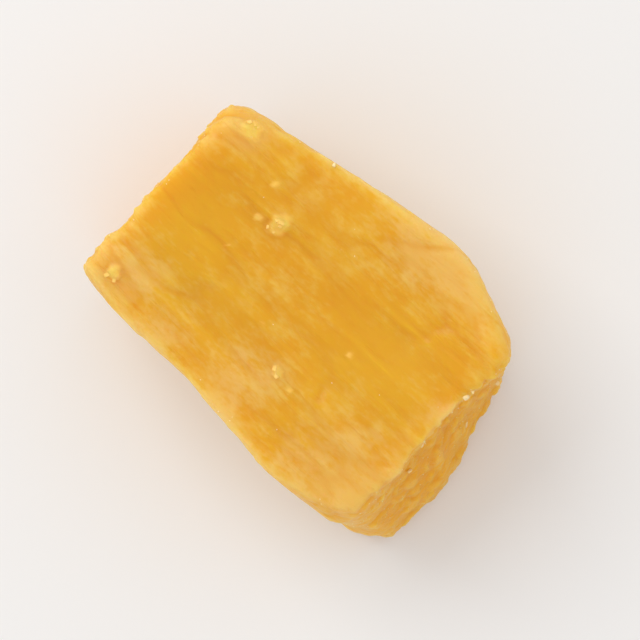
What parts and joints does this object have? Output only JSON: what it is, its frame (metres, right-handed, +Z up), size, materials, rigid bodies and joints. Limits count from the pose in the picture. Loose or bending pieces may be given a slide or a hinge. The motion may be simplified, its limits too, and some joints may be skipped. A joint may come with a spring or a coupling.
{
  "type": "dried pineapple chunk",
  "caption": "Dried pineapple chunk: a small oblong block cut from the fruit, with rounded edges, faces dished by drying and fibre ridges along its length.",
  "frame": {"origin": "on the surface that the chunk rests on, under the middle of its box", "axes": "+X along the fibres, which is the longest extent, towards the end that leans out at its foot; +Y across; +Z up"},
  "size_m": [0.014, 0.0096, 0.0077],
  "materials": {
    "dried_pineapple": "satin, slightly translucent golden fruit with paler rims, fine fibres and a dusting of sugar"
  },
  "bodies": {
    "root": {"pineapple_chunk": "dried_pineapple"}
  },
  "joints": []
}
